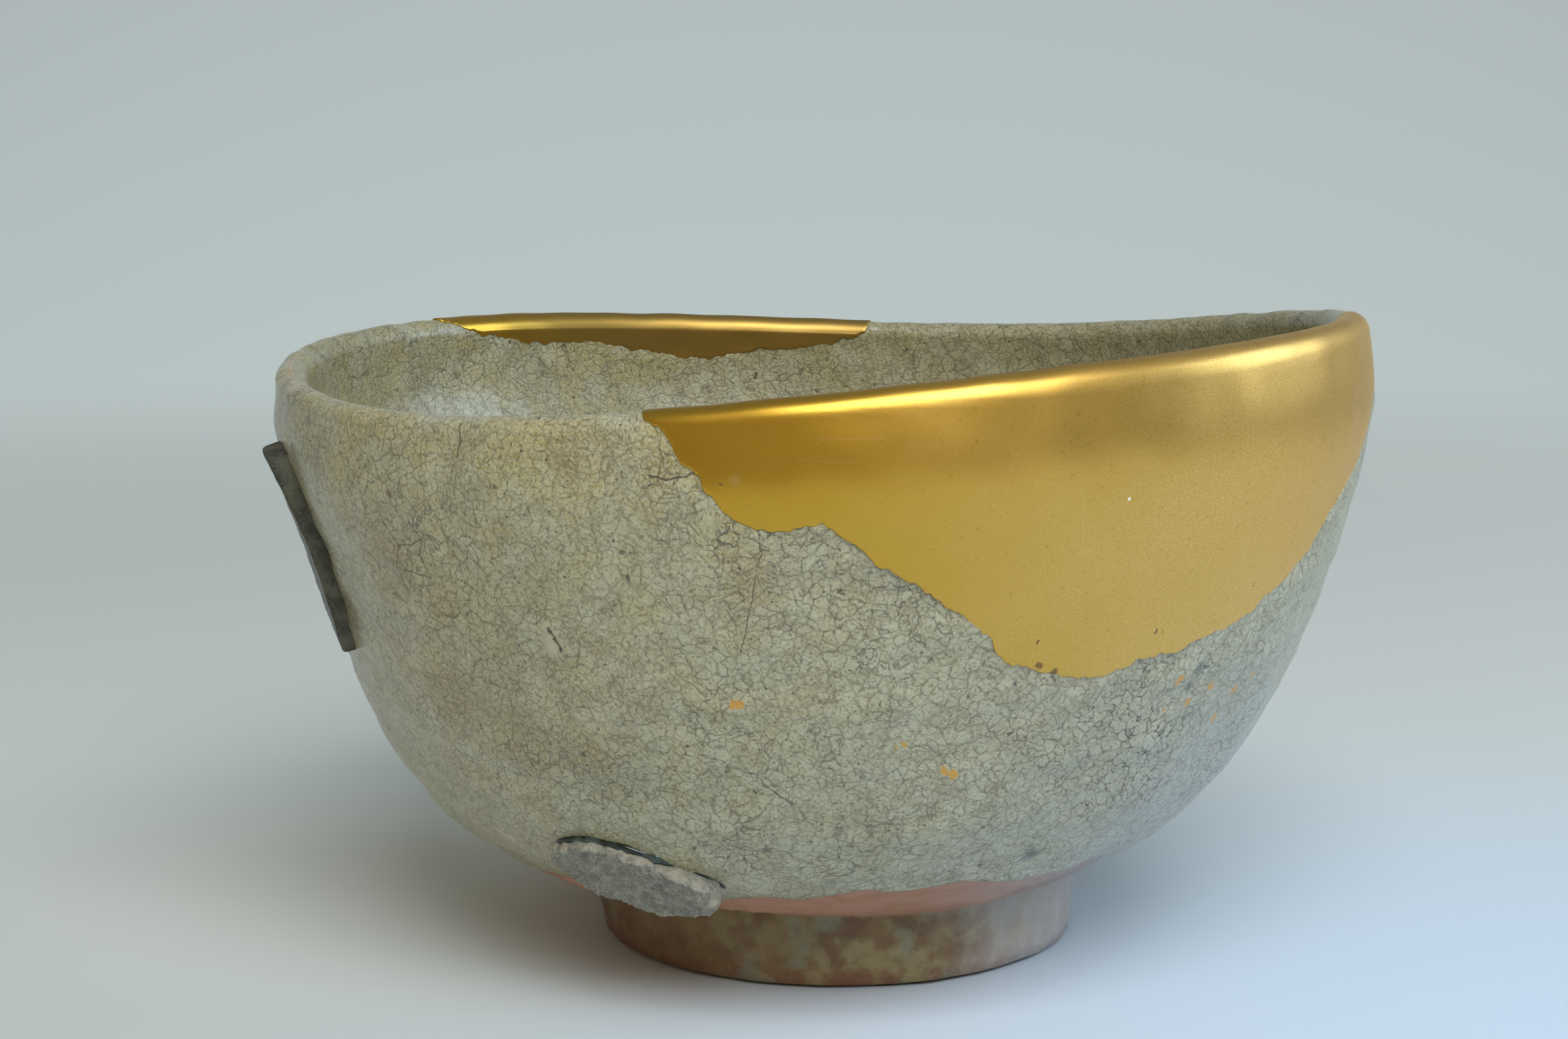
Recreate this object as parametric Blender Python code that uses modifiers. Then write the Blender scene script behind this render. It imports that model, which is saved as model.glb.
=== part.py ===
"""A hand-thrown stoneware tea bowl, broken at the lip and repaired with gilded lacquer fills.

The bowl and its two fills are turned about the Z axis first, and parted along the break lines
there. Each finished piece is then moved from the true turned form to the warped form that the
fired bowl has, so that the pieces still fit. Metres, +Z up, and the foot stands on z = 0.
"""

import math

import bmesh
import bpy
import numpy as np
from mathutils import Matrix, Vector

# Bowl, overall
LIP_RADIUS = 0.0710
LIP_HEIGHT = 0.0791
WALL_START_HEIGHT = 0.0119
TURNING_STEPS = 84

# Outer wall, as (share of the way up from the wall's start, share of the lip's radius)
WALL_PROFILE = (
    (0.00, 0.562),
    (0.08, 0.678),
    (0.20, 0.787),
    (0.35, 0.866),
    (0.52, 0.930),
    (0.70, 0.980),
    (0.86, 1.011),
    (1.00, 1.000),
)
OUTER_WALL_POINTS = 13
OUTER_WALL_BUNCHING = 1.35
INNER_WALL_POINTS = 9

# Wall thickness
LIP_WALL = 0.0041
LOW_WALL = 0.0056
LIP_ROUND_SHARE = 1 - LIP_WALL / 2 / (LIP_HEIGHT - WALL_START_HEIGHT)
FLOOR_HEIGHT = 0.0140
FLOOR_MEETS_WALL = 0.25
FLOOR_POINTS = 7
FLOOR_TURN = 80.0
LIP_ARC = (135.0, 90.0, 45.0)

# Foot ring
FOOT_RADIUS = 0.0321
FOOT_TOP_RADIUS = 0.0328
FOOT_HEIGHT = 0.0100
FOOT_RING_WIDTH = 0.0062
FOOT_EDGE = 0.0008
RECESS_DEPTH = 0.0072
RECESS_FILLET = 0.0016
RECESS_TIP = 0.0008
RECESS_FLAT_RADIUS = 0.0086

# Where the fired bowl departs from a turned one
FOOT_CENTRE = (0.0027, -0.0006)
LEAN_AT_FOOT = (-0.0038, 0.0)
LEAN_AT_LIP = (-0.0025, 0.0006)
BELLY_LEAN = (0.0015, 0.0)
WARP_POWER = 1.5
# Each wave: times round the bowl, height in metres, direction of a crest in degrees
LIP_WAVES = (
    (1, 0.00289, -17.5),
    (2, 0.00252, -29.6),
    (3, 0.00040, 25.3),
    (4, 0.00018, 9.5),
)
ROUNDNESS_WAVES = (
    (2, 0.00060, -18.3),
    (3, 0.00025, -44.0),
)
# The wall is pressed in where the side fragment lies: degrees and share of height, then depth
DENT_PLACE = (-165.0, 0.68)
DENT_DEPTH = 0.0012
DENT_SPREAD = (16.0, 0.18)

# Fills: how far they stand proud of the glaze, and the gap to the broken edge
FILL_PROUD = 0.0002
JOINT_GAP = 0.0003
FILL_CUTTER_REACH = 0.012
FILL_CUTTER_NEAR = LIP_RADIUS / 2

# Break lines, as (degrees round from +X, share of the wall's height), left end to right end
FRONT_BREAK = (
    (-106.8, 1.05),
    (-105.8, 1.00),
    (-104.5, 0.983),
    (-103.0, 0.958),
    (-102.0, 0.917),
    (-100.2, 0.895),
    (-99.9, 0.868),
    (-98.8, 0.840),
    (-97.2, 0.815),
    (-95.5, 0.795),
    (-93.2, 0.790),
    (-91.5, 0.797),
    (-89.8, 0.800),
    (-88.2, 0.780),
    (-86.2, 0.750),
    (-84.5, 0.720),
    (-81.2, 0.685),
    (-79.0, 0.652),
    (-76.5, 0.625),
    (-74.2, 0.590),
    (-73.2, 0.580),
    (-72.9, 0.556),
    (-71.0, 0.532),
    (-67.8, 0.515),
    (-63.5, 0.492),
    (-60.0, 0.492),
    (-58.0, 0.505),
    (-54.8, 0.512),
    (-50.8, 0.515),
    (-46.0, 0.535),
    (-40.5, 0.555),
    (-38.8, 0.578),
    (-35.7, 0.595),
    (-31.2, 0.645),
    (-27.0, 0.700),
    (-20.8, 0.766),
    (-18.6, 0.820),
    (-15.5, 0.875),
    (-11.0, 0.935),
    (-7.0, 0.990),
    (-6.0, 1.05),
)
BACK_BREAK = (
    (83.0, 1.05),
    (84.5, 0.978),
    (88.2, 0.955),
    (92.7, 0.938),
    (98.2, 0.932),
    (101.7, 0.917),
    (105.5, 0.905),
    (109.5, 0.905),
    (113.8, 0.920),
    (118.5, 0.932),
    (122.5, 0.945),
    (129.0, 0.940),
    (134.2, 0.955),
    (140.5, 0.975),
    (144.5, 1.000),
    (145.5, 1.05),
)

# Fragments of other pots, fused to the wall in the kiln. Each is a flat flake: its outline is in
# metres across and up its own face, seen from outside, about a point on the wall.
FOOT_SHERD_OUTLINE = (
    (-0.0086, 0.0045),
    (-0.0063, 0.0005),
    (-0.0051, -0.0012),
    (-0.0032, -0.0023),
    (-0.0005, -0.0029),
    (0.0021, -0.0041),
    (0.0045, -0.0047),
    (0.0089, -0.0035),
    (0.0118, -0.0029),
    (0.0137, 0.0001),
    (0.0127, 0.0031),
    (0.0108, 0.0049),
    (0.0080, 0.0054),
    (0.0052, 0.0063),
    (0.0012, 0.0079),
    (-0.0018, 0.0082),
    (-0.0045, 0.0079),
    (-0.0079, 0.0063),
)
FOOT_SHERD_PLACE = (-117.0, 0.09)
FOOT_SHERD_TILT = 40.0
FOOT_SHERD_PROUD = 0.0020
SIDE_SHERD_OUTLINE = (
    (-0.0110, -0.0060),
    (-0.0065, -0.0118),
    (0.0020, -0.0132),
    (0.0108, -0.0136),
    (0.0116, -0.0090),
    (0.0104, 0.0010),
    (0.0088, 0.0085),
    (0.0062, 0.0137),
    (0.0005, 0.0143),
    (-0.0072, 0.0118),
    (-0.0126, 0.0040),
)
SIDE_SHERD_PLACE = (-165.0, 0.66)
SIDE_SHERD_TILT = 18.5
SIDE_SHERD_PROUD = 0.0011
SHERD_BACKING = 0.0070

WELD_DISTANCE = 0.000002
AXIS_MERGE_DISTANCE = 0.00005
SHARP_ANGLE = 35.0


def smooth_curve(knots, at):
    """Cubic Hermite curve through (place, value) knots, with slopes from each knot's neighbours."""
    place, value = np.array(knots).T
    slope = np.gradient(value, place)
    i = np.clip(np.searchsorted(place, at, side="right") - 1, 0, len(place) - 2)
    span = place[i + 1] - place[i]
    u = (at - place[i]) / span
    start = value[i] * (1 + 2 * u) * (1 - u) ** 2 + slope[i] * span * u * (1 - u) ** 2
    end = value[i + 1] * u * u * (3 - 2 * u) - slope[i + 1] * span * u * u * (1 - u)
    return start + end


def wall_height(share):
    return WALL_START_HEIGHT + (LIP_HEIGHT - WALL_START_HEIGHT) * share


def outer_radius(share):
    return LIP_RADIUS * smooth_curve(WALL_PROFILE, share)


def wall_thickness(share):
    return LOW_WALL + (LIP_WALL - LOW_WALL) * share


def lip_arc(proud):
    """The rounded lip, from inside to outside, as three points of a half circle."""
    half = LIP_WALL / 2
    centre = (outer_radius(LIP_ROUND_SHARE) - half, LIP_HEIGHT - half)
    return [
        (centre[0] + (half + proud) * math.cos(a), centre[1] + (half + proud) * math.sin(a))
        for a in np.radians(LIP_ARC)
    ]


def inner_profile(proud):
    """From the floor's centre, along part of an ellipse, then up the inner wall to the lip."""
    turn = math.radians(FLOOR_TURN)
    meets = FLOOR_MEETS_WALL
    reach = outer_radius(meets) - wall_thickness(meets)
    rise = wall_height(meets) - FLOOR_HEIGHT
    angles = np.linspace(0, turn, FLOOR_POINTS)
    floor_r = reach * np.sin(angles) / math.sin(turn)
    floor_z = FLOOR_HEIGHT + rise * (1 - np.cos(angles)) / (1 - math.cos(turn))
    shares = np.linspace(meets, LIP_ROUND_SHARE, INNER_WALL_POINTS)[1:]
    wall_r = outer_radius(shares) - wall_thickness(shares)
    inner = list(zip(floor_r, floor_z)) + list(zip(wall_r, wall_height(shares)))
    return [(max(r - proud, 0.0), z + proud) for r, z in inner]


def outer_profile(proud):
    """Down the outer wall from the lip to the foot ring."""
    shares = LIP_ROUND_SHARE * np.linspace(1, 0, OUTER_WALL_POINTS) ** OUTER_WALL_BUNCHING
    return list(zip(outer_radius(shares) + proud, wall_height(shares)))


def foot_profile():
    """Down the foot ring, across its tread, and up into the shallow recess to the centre."""
    inner = FOOT_RADIUS - FOOT_RING_WIDTH
    return [
        (FOOT_TOP_RADIUS, FOOT_HEIGHT),
        (FOOT_RADIUS, FOOT_EDGE),
        (FOOT_RADIUS - FOOT_EDGE, 0.0),
        (inner + FOOT_EDGE, 0.0),
        (inner, FOOT_EDGE),
        (inner - FOOT_EDGE, RECESS_DEPTH - RECESS_FILLET),
        (inner - FOOT_EDGE - RECESS_FILLET, RECESS_DEPTH),
        (RECESS_FLAT_RADIUS, RECESS_DEPTH),
        (0.0, RECESS_DEPTH - RECESS_TIP),
    ]


def bowl_profile(proud):
    """The whole section, from the floor's centre over the lip and down to the recess's centre."""
    return inner_profile(proud) + lip_arc(proud) + outer_profile(proud) + foot_profile()


def clearance_profile(gap):
    """The outside of the bowl alone, filled solid, and grown by a gap outwards and downwards."""
    outside = outer_profile(0.0) + [(FOOT_TOP_RADIUS, FOOT_HEIGHT), (FOOT_TOP_RADIUS, 0.0)]
    return [(0.0, LIP_HEIGHT)] + [(r + gap, z - gap) for r, z in outside] + [(0.0, -gap)]


def turned_object(name, profile):
    """A profile in the XZ plane, turned about Z. The profile runs down its outer side."""
    mesh = bpy.data.meshes.new(name)
    verts = [(r, 0.0, z) for r, z in profile]
    edges = [(i, i + 1) for i in range(len(verts) - 1)]
    mesh.from_pydata(verts, edges, [])
    obj = bpy.data.objects.new(name, mesh)
    screw = obj.modifiers.new("Turning", "SCREW")
    screw.steps = screw.render_steps = TURNING_STEPS
    screw.use_merge_vertices = True
    screw.merge_threshold = AXIS_MERGE_DISTANCE
    return obj


def break_wedge(name, outline, raised):
    """Everything above a break line: a ring-shaped wedge that passes right through the wall.

    The line is unrolled at the lip's radius, and raised at right angles to itself by a gap.
    """
    degrees, share = np.array(outline).T
    line = np.stack([np.radians(degrees) * LIP_RADIUS, wall_height(share)], axis=1)
    run = np.gradient(line, axis=0)
    run /= np.linalg.norm(run, axis=1)[:, None]
    line += raised * np.stack([-run[:, 1], run[:, 0]], axis=1)
    angle, low = line[:, 0] / LIP_RADIUS, line[:, 1]
    far = LIP_RADIUS + FILL_CUTTER_REACH
    high = LIP_HEIGHT + FILL_CUTTER_REACH
    bm = bmesh.new()
    rings = []
    for a, z in zip(angle, low):
        corners = ((FILL_CUTTER_NEAR, z), (far, z), (far, high), (FILL_CUTTER_NEAR, high))
        rings.append([bm.verts.new((r * math.cos(a), r * math.sin(a), h)) for r, h in corners])
    for here, there in zip(rings, rings[1:]):
        for i in range(4):
            j = (i + 1) % 4
            bm.faces.new((here[i], here[j], there[j], there[i]))
    bm.faces.new(rings[0])
    bm.faces.new(rings[-1])
    bmesh.ops.recalc_face_normals(bm, faces=bm.faces)
    mesh = bpy.data.meshes.new(name)
    bm.to_mesh(mesh)
    bm.free()
    return bpy.data.objects.new(name, mesh)


def sherd_blank(name, outline, place, tilt, proud):
    """A flat fragment's outline, filled and extruded, with its face this far out from the wall."""
    curve = bpy.data.curves.new(name, "CURVE")
    curve.dimensions = "2D"
    curve.fill_mode = "BOTH"
    curve.extrude = (SHERD_BACKING + proud) / 2
    line = curve.splines.new("POLY")
    line.points.add(len(outline) - 1)
    line.points.foreach_set("co", [c for u, w in outline for c in (u, w, 0, 1)])
    line.use_cyclic_u = True
    degrees, share = place
    angle, tip = math.radians(degrees), math.radians(tilt)
    across = Vector((-math.sin(angle), math.cos(angle), 0))
    out = Vector((math.cos(angle) * math.cos(tip), math.sin(angle) * math.cos(tip), -math.sin(tip)))
    radius = outer_radius(share)
    on_wall = Vector((radius * math.cos(angle), radius * math.sin(angle), wall_height(share)))
    centre = on_wall + out * (proud - curve.extrude)
    facing = Matrix((across, out.cross(across), out)).transposed()
    guide = bpy.data.objects.new(name, curve)
    guide.matrix_world = Matrix.Translation(centre) @ facing.to_4x4()
    return guide


def as_mesh(obj):
    """The shape that a curve or the modifiers make, as one welded mesh in world space."""
    graph = bpy.context.evaluated_depsgraph_get()
    mesh = bpy.data.meshes.new_from_object(obj.evaluated_get(graph))
    mesh.transform(obj.matrix_world)
    bm = bmesh.new()
    bm.from_mesh(mesh)
    bmesh.ops.remove_doubles(bm, verts=bm.verts, dist=WELD_DISTANCE)
    bmesh.ops.recalc_face_normals(bm, faces=bm.faces)
    bm.to_mesh(mesh)
    bm.free()
    return mesh


def warped(points):
    """Moves points of the turned form to where the fired bowl has them.

    Going up the wall, its circles lean off the foot's centre, go out of round, and rise and dip
    in waves. The foot ring is left true, and only takes its place under the bowl.
    """
    x, y, z = points.T
    angle = np.arctan2(y, x)
    share = (z - WALL_START_HEIGHT) / (LIP_HEIGHT - WALL_START_HEIGHT)
    up = np.clip(share, 0, 1)
    on_wall = np.clip((z - FOOT_HEIGHT) / (WALL_START_HEIGHT - FOOT_HEIGHT), 0, 1)
    weight = np.clip(share, 0, None) ** WARP_POWER

    def wave(waves):
        return sum(high * np.cos(n * (angle - math.radians(crest))) for n, high, crest in waves)

    beside = 1 - np.cos(angle - math.radians(DENT_PLACE[0]))
    beside /= 1 - math.cos(math.radians(DENT_SPREAD[0]))
    above = ((share - DENT_PLACE[1]) / DENT_SPREAD[1]) ** 2
    out = weight * wave(ROUNDNESS_WAVES) - DENT_DEPTH * np.exp(-beside - above)
    moved = np.stack([x + out * np.cos(angle), y + out * np.sin(angle)], axis=1)
    for axis in (0, 1):
        straight = LEAN_AT_FOOT[axis] * (1 - up) + LEAN_AT_LIP[axis] * up
        lean = straight + BELLY_LEAN[axis] * 4 * up * (1 - up)
        moved[:, axis] += FOOT_CENTRE[axis] + on_wall * lean
    return np.column_stack([moved, z + weight * wave(LIP_WAVES)])


def finished_piece(source, name, finish):
    """The evaluated shape of a working object, warped, with its finish, in the bowl's collection."""
    mesh = as_mesh(source)
    mesh.name = name
    points = np.empty(len(mesh.vertices) * 3, np.float32)
    mesh.vertices.foreach_get("co", points)
    mesh.vertices.foreach_set("co", warped(points.reshape(-1, 3).astype(float)).ravel())
    mesh.materials.clear()
    mesh.materials.append(finish)
    mesh.shade_smooth()
    mesh.set_sharp_from_angle(angle=math.radians(SHARP_ANGLE))
    piece = bpy.data.objects.new(name, mesh)
    pieces.objects.link(piece)
    return piece


def working_object(obj):
    """Links a cutter or a piece before its warp, kept as a hidden wire guide."""
    working.objects.link(obj)
    obj.hide_render = True
    obj.display_type = "WIRE"
    return obj


def boolean(obj, operation, cutter):
    modifier = obj.modifiers.new(cutter.name, "BOOLEAN")
    modifier.operation = operation
    modifier.solver = "EXACT"
    modifier.object = cutter


def principled(name, colour, roughness, metallic=0.0):
    material = bpy.data.materials.new(name)
    material.use_nodes = True
    shader = material.node_tree.nodes["Principled BSDF"]
    shader.inputs["Base Color"].default_value = (*colour, 1.0)
    shader.inputs["Roughness"].default_value = roughness
    shader.inputs["Metallic"].default_value = metallic
    return material


def new_collection(name):
    collection = bpy.data.collections.new(name)
    bpy.context.scene.collection.children.link(collection)
    return collection


for old in list(bpy.data.objects):
    bpy.data.objects.remove(old)
pieces = new_collection("kintsugi_bowl")
working = new_collection("cutters")

glaze = principled("crackled_ash_glaze", (0.26, 0.25, 0.18), 0.35)
gold = principled("gilded_lacquer", (0.62, 0.40, 0.10), 0.34, metallic=1.0)
grey_sherd = principled("grey_fragment", (0.30, 0.29, 0.25), 0.85)
dark_sherd = principled("dark_fragment", (0.07, 0.07, 0.05), 0.55)

# The bowl, with a bite out of its lip for each fill
turned_bowl = working_object(turned_object("bowl_turned", bowl_profile(0.0)))
for label, outline in (("front", FRONT_BREAK), ("back", BACK_BREAK)):
    bite = working_object(break_wedge(f"{label}_bite", outline, 0.0))
    boolean(turned_bowl, "DIFFERENCE", bite)
    turned_fill = working_object(turned_object(f"{label}_fill_turned", bowl_profile(FILL_PROUD)))
    fill_reach = working_object(break_wedge(f"{label}_fill_reach", outline, JOINT_GAP))
    boolean(turned_fill, "INTERSECT", fill_reach)
    finished_piece(turned_fill, f"gold_repair_{label}", gold)
finished_piece(turned_bowl, "bowl", glaze)

# The two fragments, each cut to lie against the outside of the wall
wall_clearance = working_object(turned_object("wall_clearance", clearance_profile(JOINT_GAP)))
for name, outline, place, tilt, proud, finish in (
    (
        "kiln_sherd_foot",
        FOOT_SHERD_OUTLINE,
        FOOT_SHERD_PLACE,
        FOOT_SHERD_TILT,
        FOOT_SHERD_PROUD,
        grey_sherd,
    ),
    (
        "kiln_sherd_side",
        SIDE_SHERD_OUTLINE,
        SIDE_SHERD_PLACE,
        SIDE_SHERD_TILT,
        SIDE_SHERD_PROUD,
        dark_sherd,
    ),
):
    outline_guide = working_object(sherd_blank(f"{name}_outline", outline, place, tilt, proud))
    blank = working_object(bpy.data.objects.new(f"{name}_blank", as_mesh(outline_guide)))
    boolean(blank, "DIFFERENCE", wall_clearance)
    finished_piece(blank, name, finish)
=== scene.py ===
"""The looks of a hand-thrown tea bowl, mended at its lip with gilded lacquer, in metres."""

import math

import bmesh
import bpy
import numpy as np
from mathutils import Matrix


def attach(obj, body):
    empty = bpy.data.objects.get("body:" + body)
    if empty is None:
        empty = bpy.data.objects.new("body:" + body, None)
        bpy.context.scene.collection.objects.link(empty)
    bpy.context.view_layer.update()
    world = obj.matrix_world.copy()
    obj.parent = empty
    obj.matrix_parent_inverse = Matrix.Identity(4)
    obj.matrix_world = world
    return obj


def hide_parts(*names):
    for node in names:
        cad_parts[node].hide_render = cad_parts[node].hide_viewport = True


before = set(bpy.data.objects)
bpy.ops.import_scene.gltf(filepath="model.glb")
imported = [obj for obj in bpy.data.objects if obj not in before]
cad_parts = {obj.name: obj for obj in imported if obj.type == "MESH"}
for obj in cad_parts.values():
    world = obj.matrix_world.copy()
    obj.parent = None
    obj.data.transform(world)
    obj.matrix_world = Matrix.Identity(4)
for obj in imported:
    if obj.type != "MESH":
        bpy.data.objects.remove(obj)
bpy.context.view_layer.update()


# The camera
# It stands where the photograph was taken from, 0.38 m in front of the bowl and a little above
# its lip. Its place, its turn and its lens come from fitting the bowl's outline.
CAMERA_PLACE = (0.0030, -0.3796, 0.1123)
CAMERA_TURN_LEFT = 0.0196
CAMERA_TILT_DOWN = 0.1492
CAMERA_ROLL = -0.0014
CAMERA_LENS = 65.4

camera_data = bpy.data.cameras.new("camera")
camera_data.lens = CAMERA_LENS
camera_data.clip_start = 0.01
camera = bpy.data.objects.new("camera", camera_data)
camera.matrix_world = (
    Matrix.Translation(CAMERA_PLACE)
    @ Matrix.Rotation(CAMERA_TURN_LEFT, 4, "Z")
    @ Matrix.Rotation(math.radians(90) - CAMERA_TILT_DOWN, 4, "X")
    @ Matrix.Rotation(CAMERA_ROLL, 4, "Z")
)
bpy.context.scene.collection.objects.link(camera)
bpy.context.scene.camera = camera
bpy.context.scene.view_settings.view_transform = "Standard"


# The light
# A pale room lights the bowl from all round, dimmer overhead and warm and dim behind the camera on
# the left. Daylight comes from two windows, one high beside the camera and one on the right.
ROOM_COLOUR = (0.500, 0.572, 0.567)
CEILING_COLOUR = (0.240, 0.270, 0.275)
CEILING_RISE = (-0.20, 0.60)
SIDES_DARKEN = 0.90
ROOM_SHADE_COLOUR = (0.330, 0.290, 0.190)
ROOM_SHADE_TOWARDS = (-0.55, -0.80, -0.05)
ROOM_SHADE_SPREAD = (-0.10, 0.95)
LIGHT_OFFSET = 0.04
# Each light: bearing and height in degrees from the bowl, distance, width, height, watts, colour
LIGHTS = {
    "front_window": (-74.0, 47.0, 1.30, 0.90, 0.80, 15.0, (0.88, 0.94, 1.0)),
    "side_window": (10.0, 24.0, 1.30, 0.65, 0.65, 5.5, (0.64, 0.82, 1.0)),
}


class Wire:
    """One output socket of a shader tree. Arithmetic on it adds Math nodes to its tree."""

    def __init__(self, tree, socket=None):
        self.tree, self.socket = tree, socket

    def node(self, kind, settings, values, output=0):
        """Adds a node: its settings first, then a value or a wire for each socket by identifier."""
        made = self.tree.nodes.new("ShaderNode" + kind)
        for name, value in settings.items():
            setattr(made, name, value)
        sockets = {socket.identifier: socket for socket in made.inputs}
        for name, value in values.items():
            if isinstance(value, Wire):
                self.tree.links.new(value.socket, sockets[name])
            else:
                sockets[name].default_value = value
        return Wire(self.tree, made.outputs[output])

    def other(self, output):
        """Another output of the same node."""
        return Wire(self.tree, self.socket.node.outputs[output])

    def math(self, operation, *values):
        """The result of a Math node over these numbers or wires."""
        names = ("Value", "Value_001", "Value_002")
        return self.node("Math", {"operation": operation}, dict(zip(names, values)))

    def vector(self, operation, *values, output=0):
        """The result of a Vector Math node: a vector on output 0 and a number on output 1."""
        names = ("Vector", "Vector_001", "Vector_002")
        return self.node("VectorMath", {"operation": operation}, dict(zip(names, values)), output)

    def along(self, *way):
        """How far this vector reaches along a direction: their dot product."""
        return self.vector("DOT_PRODUCT", self, way, output=1)

    def __add__(self, other):
        return self.math("ADD", self, other)

    def __radd__(self, other):
        return self.math("ADD", other, self)

    def __sub__(self, other):
        return self.math("SUBTRACT", self, other)

    def __rsub__(self, other):
        return self.math("SUBTRACT", other, self)

    def __mul__(self, other):
        return self.math("MULTIPLY", self, other)

    def __rmul__(self, other):
        return self.math("MULTIPLY", other, self)

    def smooth(self, low, high):
        """0 below low, 1 above high, and a smooth rise between. With low above high it falls."""
        flip = low > high
        bounds = {"From Min": min(low, high), "From Max": max(low, high)}
        curve = {"interpolation_type": "SMOOTHSTEP"}
        rise = self.node("MapRange", curve, {"Value": self, **bounds})
        return 1 - rise if flip else rise

    def mixed(self, under, over, how="MIX"):
        """under where this mask is 0 and over where it is 1, as colours."""
        under, over = (c if isinstance(c, Wire) else (*c, 1.0) for c in (under, over))
        values = {"Factor_Float": self, "A_Color": under, "B_Color": over}
        return self.node("Mix", {"data_type": "RGBA", "blend_type": how}, values, 2)


world = bpy.data.worlds.new("room")
world.use_nodes = True
room = Wire(world.node_tree)
direction = room.node("TexCoord", {}, {})
sideways = direction.along(1.0, 0.0, 0.0)
upwards = direction.along(0.0, 0.0, 1.0)
overhead = (upwards + SIDES_DARKEN * sideways * sideways).smooth(*CEILING_RISE)
behind = direction.along(*ROOM_SHADE_TOWARDS).smooth(*ROOM_SHADE_SPREAD)
shade = behind.mixed(overhead.mixed(ROOM_COLOUR, CEILING_COLOUR), ROOM_SHADE_COLOUR)
world.node_tree.links.new(shade.socket, world.node_tree.nodes["Background"].inputs["Color"])
bpy.context.scene.world = world

for name, (bearing, height, distance, wide, high, watts, colour) in LIGHTS.items():
    lamp = bpy.data.lights.new(name, "AREA")
    lamp.shape = "RECTANGLE"
    lamp.size, lamp.size_y, lamp.energy, lamp.color = wide, high, watts, colour
    stand = bpy.data.objects.new(name, lamp)
    stand.matrix_world = (
        Matrix.Rotation(math.radians(bearing - 90), 4, "Z")
        @ Matrix.Rotation(math.radians(height), 4, "X")
        @ Matrix.Translation((0, distance, LIGHT_OFFSET))
        @ Matrix.Rotation(math.radians(90), 4, "X")
        @ Matrix.Rotation(math.radians(180), 4, "Y")
    )
    bpy.context.scene.collection.objects.link(stand)


# The floor
# A wide sheet of pale paper. A pool of cool window light is painted on it on the window's side,
# and painted fill light lightens the bowl's shadow left of the bowl. It fades out into the room
# behind the bowl, as the paper in the photograph curves up with no line.
FLOOR_RADIUS = 2.4
FLOOR_RINGS = 24
FLOOR_SPOKES = 96
FLOOR_FADE = (0.24, 0.80)
FLOOR_COLOUR = (0.635, 0.655, 0.620)
# Painted light: a pool of cool window light painted into the paper near the bowl's right front
FLOOR_PAINTED_WINDOW_LIGHT_COLOUR = (0.600, 0.715, 0.860)
FLOOR_PAINTED_WINDOW_LIGHT_PLACE = (0.115, -0.085, 0.0)
FLOOR_PAINTED_WINDOW_LIGHT_REACH = (0.24, 0.02)
# Painted fill light: a lighter, warmer patch that lifts the bowl's shadow left of the bowl
FLOOR_PAINTED_FILL_LIGHT_COLOUR = (0.780, 0.790, 0.740)
FLOOR_PAINTED_FILL_LIGHT_PLACE = (-0.050, 0.020, 0.0)
FLOOR_PAINTED_FILL_LIGHT_REACH = (0.085, 0.010)


def grid_mesh(name, points, close_across=False):
    """A mesh of quads over an array of points, rows by columns, with the last column joined on to
    the first if it closes across."""
    rows, columns, _ = points.shape
    index = np.arange(rows * columns).reshape(rows, columns)
    if close_across:
        index = np.concatenate([index, index[:, :1]], axis=1)
    corners = [index[:-1, :-1], index[1:, :-1], index[1:, 1:], index[:-1, 1:]]
    quads = np.stack([c.ravel() for c in corners], axis=1)
    mesh = bpy.data.meshes.new(name)
    mesh.from_pydata(points.reshape(-1, 3), [], quads)
    return mesh


def piece_of(mesh, material):
    """An object at the origin with this mesh and finish, smooth shaded."""
    mesh.materials.append(material)
    mesh.shade_smooth()
    piece = bpy.data.objects.new(mesh.name, mesh)
    bpy.context.scene.collection.objects.link(piece)
    return piece


def new_material(name, **shader):
    """A material, a wire of its tree, and its Principled shader with these constants set on it."""
    material = bpy.data.materials.new(name)
    material.use_nodes = True
    principled = material.node_tree.nodes["Principled BSDF"]
    for words, value in shader.items():
        principled.inputs[words.replace("_", " ")].default_value = value
    return material, Wire(material.node_tree), principled


def feed(principled, **wires):
    """Links each wire to the Principled shader's input of the same words."""
    for words, wire in wires.items():
        wire.tree.links.new(wire.socket, principled.inputs[words.replace("_", " ")])


paper, wire, principled = new_material("pale_paper", Roughness=0.75)
place = wire.node("TexCoord", {}, {}, 3)
# Painted light: the paper turns blue near the bowl's right front, as if lit by the window
beside = wire.vector("DISTANCE", place, FLOOR_PAINTED_WINDOW_LIGHT_PLACE, output=1)
paper_colour = beside.smooth(*FLOOR_PAINTED_WINDOW_LIGHT_REACH).mixed(FLOOR_COLOUR, FLOOR_PAINTED_WINDOW_LIGHT_COLOUR)
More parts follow.
